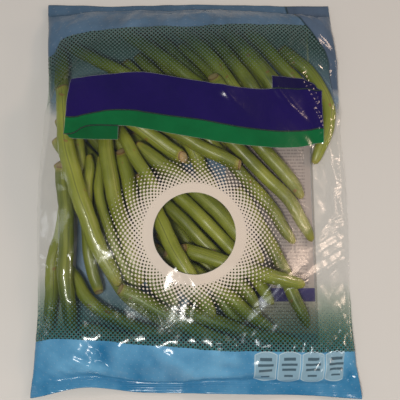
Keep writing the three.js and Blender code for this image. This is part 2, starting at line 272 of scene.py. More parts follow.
def makeBean(name, node, material):
    shape = beanShape
    stations, girth = stationsOf(node)
    line = smoothLine(stations, 12)
    lengths = [0.0]
    for a, b in zip(line, line[1:]):
        lengths.append(lengths[-1] + (b - a).length)
    total = lengths[-1]
    roll, phase = random.uniform(0, 6.28), random.uniform(0, 6.28)
    twist = random.uniform(-shape["twist"], shape["twist"])
    tone, seed, slant = random.random(), random.uniform(0, 90), random.uniform(*shape["slants"])

    cuts = shape["cutRings"]
    shares = [share for share, _ in cuts]
    girths = [level for _, level in cuts]
    for k in range(len(cuts), shape["rings"] + 1):
        share = mixed(shape["firstRing"], 1, (k - len(cuts)) / (shape["rings"] - len(cuts)))
        shares.append(share)
        girths.append(between(share, shape["girthShares"], shape["girths"]))
    girths[-1] = 0

    middles, aheads, sides, overs = [], [], [], []
    for share in shares:
        far = share * total
        i = next((i for i in range(len(line) - 2) if lengths[i + 1] > far), len(line) - 2)
        t = (far - lengths[i]) / (lengths[i + 1] - lengths[i])
        ahead = (line[min(i + 2, len(line) - 1)] - line[max(i - 1, 0)]).normalized()
        side = ahead.cross(Vector((0, 0, 1))).normalized()
        over = side.cross(ahead)
        stray = shape["sway"] * smoothed(share, 0, 0.2)
        middle = line[i].lerp(line[i + 1], t)
        middle += side * stray * math.sin(far * 190 + phase) + over * stray * math.sin(far * 240 + roll)
        middles.append(middle)
        aheads.append(ahead)
        sides.append(side)
        overs.append(over)

    bm = bmesh.new()
    bmesh.ops.create_uvsphere(bm, u_segments=shape["sides"], v_segments=shape["rings"], radius=1)
    skinLayer = bm.verts.layers.float_vector.new("skin")
    shareLayer = bm.verts.layers.float.new("share")
    toneLayer = bm.verts.layers.float.new("tone")
    for v in bm.verts:
        k = round(math.acos(max(-1, min(1, v.co.z))) / math.pi * shape["rings"])
        share = shares[k]
        far = share * total
        turn = math.atan2(v.co.y, v.co.x)
        seamward = math.sin(turn)  # 1 and -1 on the two seams
        reach = girth * girths[k]
        seeds = math.cos(far / shape["seedPitch"] * 6.283 + phase) * smoothed(share, 0.08, 0.2)
        seeds *= 1 - smoothed(share, 0.8, 0.92)
        reach *= 1 + shape["swelling"] * seeds * (1 - abs(seamward))
        reach *= 1 - shape["seamDepth"] * math.exp(-((1 - abs(seamward)) / shape["seamWidth"]) ** 2)
        reach *= 1 + shape["unevenness"] * noise.noise(Vector((seed, far * 60, turn / 2)))
        around = roll + twist * share
        wide, tall = math.cos(turn), seamward * shape["flatness"]
        out = sides[k] * (wide * math.cos(around) - tall * math.sin(around))
        out += overs[k] * (wide * math.sin(around) + tall * math.cos(around))
        v[skinLayer] = (math.cos(turn), seamward, far * 100)  # round the pod, and centimetres along it
        v[shareLayer] = share + 0.0045 * (reach / girth if k < len(cuts) else 0)
        v[toneLayer] = tone
        leaning = slant * out.dot(overs[k]) * (1 - smoothed(share, 0, shape["slantReach"]))
        v.co = middles[k] + (out + aheads[k] * leaning) * reach
    bm.normal_update()
    return finishPiece(name, bm, [material], [node.name])


bag = {
    "plan": 0.3,  # the side of the square that the print is laid out on
    "columns": 92,
    "rows": 120,
    "length": 0.262,
    "halfWidth": 0.099,
    "shift": (0.00025, 0.0009),
    "seal": 0.009,
    "leftOut": (2, -0.5, 1, 1.8, -1.4, 1, 3.5),  # millimetres, in even steps from the bottom
    "rightOut": (3, -1.2, -0.5, -0.7, -2.7, -3.2, -7.5),
    "bottomUp": (-1.5, 5, 2, 1.5, 1, 0.3, -1.8),
    "bottomReach": 0.12,
    "curlReach": 0.026,
    "room": 0.0004,  # between the sheets in the seals
    "startGaps": (0.0006, 0.0015),  # over the beans and over the air, before it settles
    "airEnds": ((-0.074, -0.119), (0.084, 0.1235)),  # where the film leaves the beans, and where it ends
    "airShare": 0.95,
    "airSteps": 40,
    "airSmoothing": 14,
    "lumps": 0.0022,
    "flapEdge": (  # millimetres, up and across
        (58, 90), (75, 89), (88.7, 87), (102, 79), (115.7, 70.3), (131, 62.5)),
    "flapStep": 0.0011,
    "crease": (
        (-40, 70), (-36, 74.5), (-16, 90), (5, 90), (21, 87.5), (35, 83.7), (52, 78), (70, 70.5), (86, 64)),
    "creaseHeight": 0.0012,
    "creaseWidth": 0.0046,
    "creaseFade": 0.006,
    "bandFolds": 0.0052,
    "bandReaches": ((-0.084, -0.104), (0.094, 0.110)),  # where they begin, and where they are full
    "bandCreases": (  # height, reach and path, in millimetres
        (1.7, 4.5, ((-74, -109), (-58, -114))),
        (-2.0, 5.0, ((-57, -101), (-51, -112), (-47, -122))),
        (1.8, 4.5, ((-82, -119), (-67, -116), (-56, -121))),
        (1.5, 4.0, ((-50, -119), (-37, -123))),
        (-1.7, 5.0, ((-25, -106), (-10, -124))),
        (2.1, 5.0, ((-15, -107), (2, -120))),
        (1.3, 5.5, ((9, -104), (25, -111))),
        (-1.6, 5.5, ((20, -113), (42, -119))),
        (2.3, 5.0, ((84, -103), (77, -115), (71, -125))),
        (-2.0, 4.5, ((88, -93), (80, -103), (96, -117))),
    ),
    "sideFolds": 0.0011,
    "sides": (-0.078, 0.070),  # past the beans
    "growth": 0.022,
    "frames": 26,
    "gravity": 0.03,
    "gap": 0.001,  # kept from the beans while it settles
    "cloth": {
        "quality": 8, "mass": 0.05, "tension_stiffness": 40, "compression_stiffness": 40,
        "shear_stiffness": 20, "bending_stiffness": 0.1, "air_damping": 4,
    },
}


def planSpot(across, up):
    left = -bag["halfWidth"] - curveAt(bag["leftOut"], up) / 1000
    right = bag["halfWidth"] + curveAt(bag["rightOut"], up) / 1000
    drawn = curveAt(bag["bottomUp"], across) / 1000 * (1 - smoothed(up, 0, bag["bottomReach"]))
    return mixed(left, right, across) + bag["shift"][0], (up - 0.5) * bag["length"] + drawn + bag["shift"][1]


def backHeight(across, up):  # the ends curl off the counter
    x, y = planSpot(across, up)
    near = smoothed(abs(up - 0.5) * bag["length"], bag["length"] / 2 - bag["curlReach"], bag["length"] / 2)
    stray = 0.0009 * noise.noise(Vector((x * 75, y * 20, 1)))
    if up > 0.5:
        return near * (0.0020 + 0.0011 * math.sin(x * 1000 / 21 + 1) + stray)
    return near * (0.0042 + 0.0026 * math.sin(x * 1000 / 15 + 0.7 * math.sin(x * 1000 / 8)) + stray)


def makeSheet(heightAt, coarser=1):
    bm = bmesh.new()
    bmesh.ops.create_grid(bm, x_segments=bag["columns"] // coarser, y_segments=bag["rows"] // coarser, size=1)
    plan = bm.loops.layers.uv.new("plan")
    for face in bm.faces:
        for loop in face.loops:
            x, y = planSpot(loop.vert.co.x / 2 + 0.5, loop.vert.co.y / 2 + 0.5)
            loop[plan].uv = (x / bag["plan"] + 0.5, y / bag["plan"] + 0.5)
    acrossLayer = bm.verts.layers.float.new("across")
    upLayer = bm.verts.layers.float.new("up")
    bm.verts.layers.float.new("fold")
    for v in bm.verts:
        across, up = v.co.x / 2 + 0.5, v.co.y / 2 + 0.5
        v[acrossLayer], v[upLayer] = across, up
        v.co = (*planSpot(across, up), heightAt(across, up))
    return bm


def lumpAt(x, y):
    spot = Vector((x * 30, y * 44, 4))
    return noise.noise(spot) + 0.5 * abs(noise.noise(spot * 2.3)) - 0.1


def gapTo(spot, path):  # from a spot to the nearest point of a line through a few places
    gaps = []
    for a, b in zip(path, path[1:]):
        a, b = Vector(a), Vector(b)
        share = min(max((spot - a).dot(b - a) / (b - a).length_squared, 0), 1)
        gaps.append((spot - a.lerp(b, share)).length)
    return min(gaps)


def foldsAt(x, y, across, up):
    ends = max(smoothed(y, *reach) for reach in bag["bandReaches"])
    ends *= smoothed(min(up, 1 - up), 0.035, 0.060) * smoothed(min(across, 1 - across), 0, 0.04)
    broad = 0.5 - abs(noise.noise(Vector((x * 34 + y * 12, y * 26, 7))))
    sharp = 0.5 - abs(noise.noise(Vector((x * 85 - y * 30, y * 60, 3))))
    folds = bag["bandFolds"] * ends * (broad + 0.55 * sharp)
    if y < -0.09:
        for height, reach, path in bag["bandCreases"]:
            near = 1 - gapTo(Vector((x, y)) * 1000, path) / reach
            folds += height / 1000 * smoothed(near, 0, 1) * smoothed(min(up, 1 - up), 0.03, 0.05)
    low, high = bag["sides"]
    beside = max(smoothed(x, low, low - 0.012), smoothed(x, high, high + 0.010))
    beside *= smoothed(min(across, 1 - across), 0, 0.03) * (1 - ends)
    folds += bag["sideFolds"] * beside * (0.5 - abs(noise.noise(Vector((x * 150 + y * 40, y * 32, 5)))))
    edge = between(y * 1000, *zip(*bag["flapEdge"])) / 1000
    folds += bag["flapStep"] * smoothed(x - edge, -0.0014, 0.0008) * smoothed(y, 0.058, 0.070)
    line = between(y * 1000, *zip(*bag["crease"])) / 1000
    near = max(1 - abs(x - line) / bag["creaseWidth"], 0)
    low, high = bag["crease"][0][0] / 1000, bag["crease"][-1][0] / 1000
    near *= smoothed(y, low, low + bag["creaseFade"]) * smoothed(y, high, high - bag["creaseFade"])
    return folds + bag["creaseHeight"] * near


def drapeFront():
    tree = BVHTree.FromObject(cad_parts["film_bag"], bpy.context.evaluated_depsgraph_get())
    sealShare = bag["seal"] / bag["length"]
    overBeans, overAir = bag["startGaps"]

    def topAt(x, y):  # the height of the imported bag
        spot = tree.ray_cast(Vector((x, y, 0.2)), Vector((0, 0, -1)))[0]
        return spot.z if spot else 0

    def airCrest(y):  # heights from side to side where the film leaves the beans
        shares = [i / bag["airSteps"] for i in range(bag["airSteps"] + 1)]
        crest = [topAt(mixed(-bag["halfWidth"], bag["halfWidth"], share), y) for share in shares]
        for _ in range(bag["airSmoothing"]):
            crest = [mixed(b, (a + c) / 2, 0.5) for a, b, c in zip([0] + crest, crest, crest[1:] + [0])]
        return crest

    crests = [airCrest(start) for start, _ in bag["airEnds"]]

    def airHeight(across, up):  # the film stands on air at both ends of the bag
        x, y = planSpot(across, up)
        number = 0 if up < 0.5 else 1
        start, end = bag["airEnds"][number]
        share = (y - start) / (end - start)
        if share > 1 or share < -0.3:
            return 0.0
        height = curveAt(crests[number], across) * bag["airShare"] * (1 - max(share, 0) ** 2) ** 0.6
        height += bag["lumps"] * lumpAt(x, y) * smoothed(height, 0.004, 0.012)
        return height * smoothed(share, -0.3, 0.05)

    def startHeight(across, up):
        least = backHeight(across, up) + bag["room"]
        if min(across, 1 - across) < 0.001 or min(up, 1 - up) < sealShare:
            return least
        top = topAt(*planSpot(across, up))
        return max(least, top + overBeans if top else 0, airHeight(across, up) + overAir)

    bm = makeSheet(startHeight)
    mesh = bpy.data.meshes.new("frontSheet")
    bm.to_mesh(mesh)
    bm.free()
    sheet = bpy.data.objects.new("frontSheet", mesh)
    scene.collection.objects.link(sheet)
    held = sheet.vertex_groups.new(name="held")
    ups = [value.value for value in mesh.attributes["up"].data]
    ends = {i for i, up in enumerate(ups) if min(up, 1 - up) < sealShare}
    held.add(sorted(ends | {i for edge in boundaryOf(mesh) for i in edge}), 1, "REPLACE")

    pile = makeSheet(airHeight, 3)
    for name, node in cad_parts.items():
        if name.startswith("bean_"):
            pile.from_mesh(node.data)
    pileMesh = bpy.data.meshes.new("pile")
    pile.to_mesh(pileMesh)
    pile.free()
    pileObject = bpy.data.objects.new("pile", pileMesh)
    scene.collection.objects.link(pileObject)
    pileObject.modifiers.new("Collision", "COLLISION")
    pileObject.collision.thickness_outer = bag["gap"]
    pileObject.collision.cloth_friction = 3

    cloth = sheet.modifiers.new("Cloth", "CLOTH")
    for setting, value in bag["cloth"].items():
        setattr(cloth.settings, setting, value)
    cloth.settings.vertex_group_mass = "held"
    cloth.settings.shrink_min = -bag["growth"]
    cloth.settings.effector_weights.gravity = bag["gravity"]
    cloth.collision_settings.distance_min = bag["gap"]
    cloth.collision_settings.collision_quality = 3
    cloth.point_cache.frame_start = 1
    cloth.point_cache.frame_end = bag["frames"]
    for number in range(1, bag["frames"] + 1):
        scene.frame_set(number)
    settled = bpy.data.meshes.new_from_object(sheet.evaluated_get(bpy.context.evaluated_depsgraph_get()))
    acrosses = [value.value for value in mesh.attributes["across"].data]
    for v, fold, across, up in zip(settled.vertices, settled.attributes["fold"].data, acrosses, ups):
        if 0 < up < 1:
            height = foldsAt(v.co.x, v.co.y, across, up)
            v.co.z += height
            # the fold heights, which the front material turns into painted light on ridges and painted shade
            # in hollows
            fold.value = height / bag["bandFolds"]
    bpy.data.objects.remove(sheet)
    bpy.data.objects.remove(pileObject)
    scene.frame_set(1)
    return settled


def boundaryOf(mesh):
    uses = {}
    for face in mesh.polygons:
        for key in face.edge_keys:
            uses[key] = uses.get(key, 0) + 1
    return [key for key, count in uses.items() if count == 1]


def makeFilm(frontMaterial, backMaterial):
    settled = drapeFront()
    bm = makeSheet(backHeight)
    for v in bm.verts:
        if v.is_boundary:
            v.co.z += bag["room"]
    bmesh.ops.reverse_faces(bm, faces=bm.faces)
    for face in bm.faces:
        face.material_index = 1
    bm.from_mesh(settled)
    bpy.data.meshes.remove(settled)
    bmesh.ops.remove_doubles(bm, verts=[v for v in bm.verts if v.is_boundary], dist=0.0001)
    bm.normal_update()
    piece = finishPiece("filmBag", bm, [frontMaterial, backMaterial], ["film_bag"])
    finer = piece.modifiers.new("Subdivision", "SUBSURF")
    finer.levels = finer.render_levels = 1
    return piece


filmLook = {
    "clear": (0.86, 0.88, 0.90),
    "clearShade": (0.985, 0.985, 0.980),
    "clearCover": 0.030,
    "edgeCover": 0.15,
    "roughness": (0.11, 0.21),
    "refraction": 1.4,
    "topBlue": ((0.056, 0.105, 0.172), (0.112, 0.190, 0.290)),  # darkest and lightest
    "bottomBlue": ((0.022, 0.170, 0.350), (0.150, 0.390, 0.610)),
    "topDots": ((0.044, 0.092, 0.090), (0.085, 0.155, 0.148)),
    "bottomDots": ((0.008, 0.088, 0.098), (0.030, 0.160, 0.170)),
    # painted shade: the film's see-through colour, darkened and turned green under the blue bands and past
    # where their dots fade
    "topShade": (0.16, 0.34, 0.18),
    "bottomShade": (0.17, 0.36, 0.24),
    "flap": ((0.050, 0.075, 0.120), (0.095, 0.140, 0.215)),
    "purple": ((0.006, 0.001, 0.068), (0.013, 0.003, 0.100)),
    "purpleTail": ((0.004, 0.001, 0.042), (0.009, 0.003, 0.066)),
    "green": ((0.000, 0.098, 0.026), (0.002, 0.165, 0.048)),
    "greenTail": ((0.000, 0.078, 0.020), (0.001, 0.130, 0.038)),
    # dark print lines on the ribbons; the same colour paints the shadow line along the flap's fold
    "line": (0.003, 0.016, 0.012),
    "cream": (0.700, 0.610, 0.520),
    "tab": (0.250, 0.400, 0.500),
    "tabRim": (0.430, 0.570, 0.640),
    "tabMark": (0.020, 0.045, 0.065),
    "panel": (0.440, 0.375, 0.345),
    "panelInk": (0.120, 0.100, 0.110),
    "panelStrip": (0.060, 0.045, 0.170),
    "backBlue": (0.180, 0.290, 0.430),
    "topCover": 0.92,
    "bottomCover": 0.94,
    "dots": 2.75,  # millimetres
    "ringDots": 76,
    "ringMiddle": (-1.0, -33.3),
    "ring": (24.7, 30.6),
    "rays": (30, 55),  # the dots round the ring, from the fullest to the last
    "raysSquash": 1.13,
    "ridges": 0.07,
    "ribs": (0.0014, 0.08),  # in the seals: pitch and height
    "pleats": (0.0036, 0.26),  # along the crease
    "pleatWidths": (7.0, 3.0),
    "bump": (0.30, 0.0010),
}

printLines = {  # millimetres over the bag's plan, left to right
    "topSolid": ((-97, 90), (-88, 99), (-66, 101), (-30, 103), (3, 103), (37, 106), (71, 110), (92, 111)),
    "topFade": ((-97, 60), (-61, 64), (-29, 66), (3, 66), (36, 70), (69, 74), (92, 78)),
    "bottomSolid": ((-98, -97), (-82, -95), (-60, -95), (-39, -97), (-9, -99), (21, -101.6), (98, -103)),
    "bottomFade": ((-98, -68), (-57, -70), (-9, -73), (33, -74), (98, -71)),
    "purpleTop": (
        (-78.5, 65), (-66, 66.8), (-52.3, 68.8), (-36.5, 70.1), (-31, 69.7), (-21.6, 68.2), (-12, 66.1),
        (4, 62.7), (17.8, 60.3), (33.6, 59.9), (48.4, 61.1), (63.2, 62.8), (73.7, 63.6), (82, 63.6)),
    "purpleTailTop": ((48, 69.7), (55, 70.3), (62, 70.5), (70.5, 69.6), (76.9, 67.6), (82, 64)),
    "purpleFoot": (
        (-80, 38), (-69.5, 40.2), (-61, 42.2), (-51.5, 43.8), (-43, 44), (-31.5, 42.6), (-15.7, 40.2),
        (3.3, 37.8), (18, 35.4), (34, 33.8), (46.7, 33.5), (59.4, 34.3), (73, 36.3), (82, 38)),
    "greenFoot": (
        (-80, 26.9), (-70, 31.4), (-61.3, 33.5), (-47.6, 33.6), (-32.8, 31.8), (-15.9, 28.7), (3.1, 25.7),
        (18, 23.7), (34.1, 22.7), (46.9, 22.6), (59.7, 23.6), (72.3, 26.1), (82, 28.6)),
    "greenTailFoot": ((-80, 26.7), (-77, 24.8), (-70, 24.2), (-48, 24.5)),
}

ribbon = {  # millimetres
    "leftEnd": (0.05, -81.9),  # slant and place
    "rightEnd": 81.5,
    "greenTailEnd": -48,
    "purpleTail": (48, 81),
    "join": (0.75, 0.35),  # half the width of the dark lines, with and without their soft edges
    "joinEnd": 82,
    "joinCover": 0.85,
}

tabs = {  # millimetres
    "ends": (35, 90),
    "pitch": 14.4,
    "width": 0.95,  # as a share of the pitch
    "top": (-2.2, -102.1),  # drop at the sides, and place
    "foot": (2.6, -120.2),
    "rim": 0.55,
    "bars": (  # place, half its height, share of the width
        (-106.6, 0.9, 0.50), (-109.8, 0.7, 0.66), (-112.8, 0.7, 0.58), (-116.2, 0.5, 0.36)),
}

backPrint = {  # millimetres
    "panel": (20, 76, -92, 32),  # left, right, foot and top
    "strip": (28, 76, -72, -63.5),
    "lap": (76.2, 77.4),
    "tint": (-76, 76),
    "tintTop": (50, 62),
    "rowPitch": 2.2,
    "rowEnds": (23, 72),
    "tintShade": (0.80, 0.88, 0.92),
}


def lineHeight(tree, value, points, low=-105, high=105):  # where a drawn line lies, for each place along it
    lowest = min(y for _, y in points)
    span = max(y for _, y in points) - lowest
    curve = put(tree, "FloatCurve", {"Value": ramp(tree, value, low, high)})
    dots = curve.mapping.curves[0].points
    marks = [((px - low) / (high - low), (y - lowest) / span) for px, y in points]
    marks = [(0, marks[0][1])] + marks + [(1, marks[-1][1])]
    for i, (place, level) in enumerate(marks):
        if i in (0, len(marks) - 1):
            dots[0 if i == 0 else -1].location = (place, level)
        else:
            dots.new(place, level)
    curve.mapping.update()
    return ramp(tree, curve.outputs[0], 0, 1, lowest, lowest + span)


def above(tree, value, edge, soft=0.35):
    return sums(tree, "MULTIPLY_ADD", sums(tree, "SUBTRACT", value, edge), 1 / soft, 0.5, clamp=True)


def inside(tree, value, low, high, soft=0.35):
    return times(tree, above(tree, value, low, soft), above(tree, high, value, soft))


def patch(tree, x, y, left, right, foot, top):
    return times(tree, inside(tree, x, left, right), inside(tree, y, foot, top))


def makeDotsGroup():
    group, source, out = newGroup("printDots", [
        ("Across", "Float", 0.0), ("Along", "Float", 0.0), ("Cover", "Float", 0.5)], [("Ink", "Float")])
    waves = [sums(group, "COSINE", times(group, source.outputs[i], math.tau)) for i in (0, 1)]
    level = sums(group, "MULTIPLY_ADD", times(group, *waves), 0.5, 0.5)
    least = ramp(group, source.outputs["Cover"], 0, 1, 1.06, -0.10)
    ink = sums(group, "MULTIPLY_ADD", sums(group, "SUBTRACT", level, least), 7.0, 0.5, clamp=True)
    group.links.new(ink, out.inputs["Ink"])
    return group


def makeCrinkleGroup():
    group, source, out = newGroup("filmCrinkles", [
        ("Place", "Vector", None), ("Seals", "Float", 0.0), ("Strip", "Float", 0.0)], [("Height", "Float")])
    place = source.outputs["Place"]
    soft = put(group, "TexNoise", {"Vector": place, "Scale": 42.0, "Detail": 1.4, "Distortion": 0.6})
    sharp = put(group, "TexNoise", {"Vector": place, "Scale": 100.0, "Detail": 1.0, "Distortion": 1.2})
    ridge = sums(group, "ABSOLUTE", sums(group, "SUBTRACT", sharp.outputs["Fac"], 0.5))
    ridge = ramp(group, ridge, 0.0, 0.09, 1.0, 0.0)
    height = sums(group, "MULTIPLY_ADD", ridge, filmLook["ridges"], times(group, soft.outputs["Fac"], 0.9))
    parts = put(group, "SeparateXYZ", {0: place})
    pitch, tall = filmLook["ribs"]
    ribs = sums(group, "SINE", times(group, parts.outputs["Y"], math.tau / pitch))
    ribs = times(group, times(group, ribs, source.outputs["Seals"]), tall)
    slant = sums(group, "MULTIPLY_ADD", parts.outputs["X"], -0.55, parts.outputs["Y"])
    slant = sums(group, "MULTIPLY_ADD", soft.outputs["Fac"], 0.004, slant)
    pitch, tall = filmLook["pleats"]
    pleats = sums(group, "SINE", times(group, slant, math.tau / pitch))
    pleats = times(group, times(group, pleats, source.outputs["Strip"]), tall)
    total = sums(group, "ADD", sums(group, "ADD", height, ribs), pleats)
    group.links.new(total, out.inputs["Height"])
    return group


def printPlace(tree):  # millimetres across and along the bag
    plan = put(tree, "UVMap", uv_map="plan").outputs[0]
    parts = put(tree, "SeparateXYZ", {0: plan})
    middled = (sums(tree, "SUBTRACT", parts.outputs[i], 0.5) for i in (0, 1))
    return [times(tree, value, bag["plan"] * 1000) for value in middled]


def finishFilm(tree, out, crinkles, inputs, colour, cover, clearness, shade):
    look = filmLook
    place = put(tree, "TexCoord").outputs["Object"]
    height = useGroup(tree, crinkles, {"Place": place, **inputs}).outputs[0]
    strength, distance = look["bump"]
    bump = put(tree, "Bump", {"Strength": strength, "Distance": distance, "Height": height}).outputs[0]
    dull = put(tree, "TexNoise", {"Vector": place, "Scale": 30.0, "Detail": 2.0}).outputs["Fac"]
    rough = ramp(tree, dull, 0.35, 0.65, *look["roughness"])
    shader = put(tree, "BsdfPrincipled", {
        "Base Color": colour, "Metallic": clearness, "Roughness": rough, "Normal": bump,
        "IOR": look["refraction"],
    })
    clear = put(tree, "BsdfTransparent", {"Color": shade})
    grazing = put(tree, "LayerWeight", {"Blend": 0.25, "Normal": bump}).outputs["Facing"]
    gloss = sums(tree, "MULTIPLY_ADD", grazing, look["edgeCover"], look["clearCover"])
    share = sums(tree, "MAXIMUM", cover, gloss, clamp=True)
    both = put(tree, "MixShader", {0: share, 1: clear.outputs[0], 2: shader.outputs[0]})
    tree.links.new(both.outputs[0], out.inputs["Surface"])


def sealMask(tree):
    up = put(tree, "Attribute", attribute_name="up").outputs["Fac"]
    fromMiddle = sums(tree, "ABSOLUTE", sums(tree, "SUBTRACT", up, 0.5))
    return ramp(tree, fromMiddle, 0.464, 0.467)


def makeFrontMaterial(dots, crinkles):
    look = filmLook
    material, tree, out = newMaterial("printedFilm")
    x, y = printPlace(tree)
    across, along = (times(tree, value, 1 / look["dots"]) for value in (x, y))
    line = {key: lineHeight(tree, x, points) for key, points in printLines.items()}
    plan = put(tree, "CombineXYZ", {0: x, 1: y}).outputs[0]
    clouds = {"Vector": plan, "Scale": 0.035, "Detail": 4.0, "Roughness": 0.6}
    unevenAndFoldShading = put(tree, "TexNoise", clouds).outputs["Fac"]
    fold = put(tree, "Attribute", attribute_name="fold").outputs["Fac"]
    unevenAndFoldShading = ramp(tree, unevenAndFoldShading, 0.36, 0.64, 0.0, 0.45)
    # painted light and shade: the fold heights push each ink towards its lighter colour on ridges and its
    # darker one in hollows
    unevenAndFoldShading = sums(tree, "MULTIPLY_ADD", fold, 0.80, unevenAndFoldShading, clamp=True)

    def foldShadedPigment(ink):  # the ink's own unevenness, with painted light on fold ridges and painted shade in fold hollows
        return blend(tree, unevenAndFoldShading, *look[ink])

    # blue bands that break up into dots
    def dotted(name, edge):
        solid, fade = line[name + "Solid"], line[name + "Fade"]
        level = ramp(tree, y, fade, solid, 0.02, 0.55)
        level = most(tree, level, edge)
        ink = useGroup(tree, dots, {"Across": across, "Along": along, "Cover": level}).outputs[0]
        # painted shade over what lies under the film, reaching past the line where the dots fade out
        early = sums(tree, "SUBTRACT", fade, times(tree, sums(tree, "SUBTRACT", solid, fade), 0.4))
        paintedShade = ramp(tree, y, early, solid)
        return ink, paintedShade, blend(tree, edge, foldShadedPigment(name + "Dots"), foldShadedPigment(name + "Blue"))

    top, topPaintedShade, topInk = dotted("top", above(tree, y, line["topSolid"]))
    bottom, bottomPaintedShade, bottomInk = dotted("bottom", above(tree, line["bottomSolid"], y))
    colour = blend(tree, top, look["clear"], topInk)
    colour = blend(tree, bottom, colour, bottomInk)
    cover = most(tree, times(tree, top, look["topCover"]),
                 times(tree, bottom, look["bottomCover"]))
    inked = most(tree, top, bottom)
    # painted shade on what is seen through the film near the blue bands
    shade = blend(tree, topPaintedShade, look["clearShade"], look["topShade"])
    shade = blend(tree, bottomPaintedShade, shade, look["bottomShade"])

    # the ring, with dots that shrink away from it
    fromX, fromY = (sums(tree, "SUBTRACT", value, middle)
                    for value, middle in zip((x, y), look["ringMiddle"]))
    far = sums(tree, "SQRT", sums(tree, "MULTIPLY_ADD", fromX, fromX, times(tree, fromY, fromY)))
    tallY = times(tree, fromY, look["raysSquash"])
    fade = sums(tree, "SQRT", sums(tree, "MULTIPLY_ADD", fromX, fromX, times(tree, tallY, tallY)))
    turn = times(tree, sums(tree, "ARCTAN2", fromY, fromX), look["ringDots"] / math.tau)
    rays = useGroup(tree, dots, {
        "Across": turn, "Along": times(tree, far, 1 / look["dots"]),
        "Cover": ramp(tree, fade, *look["rays"], 0.80, 0.02)}).outputs[0]
    rays = times(tree, rays, above(tree, far, look["rays"][0]))
    ring = most(tree, rays, inside(tree, far, *look["ring"]))
    colour = blend(tree, ring, colour, look["cream"])
    cover = most(tree, cover, times(tree, ring, 0.93))
    inked = most(tree, inked, ring)

    # two ribbons, each with a tail folded back
    leftEnd = sums(tree, "MULTIPLY_ADD", y, *ribbon["leftEnd"])
    rightEnd, greenTailEnd, joinEnd = ribbon["rightEnd"], ribbon["greenTailEnd"], ribbon["joinEnd"]
    purpleTop, purpleFoot, greenFoot = line["purpleTop"], line["purpleFoot"], line["greenFoot"]
    masks = {
        "greenTail": patch(tree, x, y, leftEnd, greenTailEnd, line["greenTailFoot"], greenFoot),
        "purpleTail": patch(tree, x, y, *ribbon["purpleTail"], purpleTop, line["purpleTailTop"]),
        "green": patch(tree, x, y, leftEnd, rightEnd, greenFoot, purpleFoot),
        "purple": patch(tree, x, y, leftEnd, rightEnd, purpleFoot, purpleTop),
    }
    ribbons = 0.0
    for ink, mask in masks.items():
        colour = blend(tree, mask, colour, foldShadedPigment(ink))
        ribbons = most(tree, ribbons, mask)

    def drawn(level, low, high):  # a dark line about 1 mm wide
        near = sums(tree, "ABSOLUTE", sums(tree, "SUBTRACT", y, level))
        return times(tree, ramp(tree, near, *ribbon["join"]), inside(tree, x, low, high))

    joins = most(tree, drawn(purpleFoot, leftEnd, joinEnd), drawn(greenFoot, leftEnd, greenTailEnd))
    joins = most(tree, joins, drawn(purpleTop, ribbon["purpleTail"][0], joinEnd))
    joins = times(tree, joins, ribbons)
    colour = blend(tree, times(tree, joins, ribbon["joinCover"]), colour, look["line"])
    cover = most(tree, cover, times(tree, ribbons, 0.97))
    inked = most(tree, inked, ribbons)

    # the corner folded over, which shows the blue of the back, with a painted shadow line along its fold
    flapEdge = lineHeight(tree, y, bag["flapEdge"], 50, 135)
    pastEdge = sums(tree, "SUBTRACT", x, flapEdge)
    flap = times(tree, above(tree, pastEdge, 0), ramp(tree, y, 60, 68))
    colour = blend(tree, flap, colour, foldShadedPigment("flap"))
    # painted shadow along the folded edge, in the dark line colour, fading out towards its lower end
    rim = ramp(tree, sums(tree, "ABSOLUTE", pastEdge), 1.1, 0.3)
    rim = times(tree, rim, ramp(tree, y, 62, 80, 0, 0.7))
    colour = blend(tree, rim, colour, look["line"])
    cover = most(tree, cover, times(tree, flap, 0.93))
    inked = most(tree, inked, flap)

    # four pale tabs in the bottom band, with plain bars
    left, right = tabs["ends"]
    slot = sums(tree, "FRACT", times(tree, sums(tree, "SUBTRACT", x, left), 1 / tabs["pitch"]))
    offMiddle = sums(tree, "ABSOLUTE", sums(tree, "MULTIPLY_ADD", slot, 2, -1))
    arch = times(tree, offMiddle, offMiddle)
    tabTop = sums(tree, "MULTIPLY_ADD", arch, *tabs["top"])
    tabFoot = sums(tree, "MULTIPLY_ADD", arch, *tabs["foot"])

    def tabMask(inset):
        width = above(tree, tabs["width"] - 2 * inset / tabs["pitch"], offMiddle, 0.06)
        foot, top = sums(tree, "ADD", tabFoot, inset), sums(tree, "SUBTRACT", tabTop, inset)
        return times(tree, times(tree, width, inside(tree, x, left, right)), inside(tree, y, foot, top))

    colour = blend(tree, tabMask(0), colour, look["tabRim"])
    colour = blend(tree, tabMask(tabs["rim"]), colour, look["tab"])
    marks = 0.0
    for middle, half, reach in tabs["bars"]:
        tall = inside(tree, y, middle - half, middle + half)
        marks = most(tree, marks, times(tree, tall, above(tree, reach, offMiddle, 0.05)))
    marks = times(tree, marks, inside(tree, x, left, right))
    colour = blend(tree, times(tree, marks, 0.8), colour, look["tabMark"])

    crease = lineHeight(tree, y, bag["crease"], -45, 95)
    fromCrease = sums(tree, "ABSOLUTE", sums(tree, "SUBTRACT", x, crease))
    strip = ramp(tree, fromCrease, *look["pleatWidths"])
    strip = times(tree, strip, inside(tree, y, -30, 90, 4))
    clearness = sums(tree, "SUBTRACT", 1, inked, clamp=True)
    pressed = {"Seals": sealMask(tree), "Strip": strip}
    finishFilm(tree, out, crinkles, pressed, colour, cover, clearness, shade)
    return material


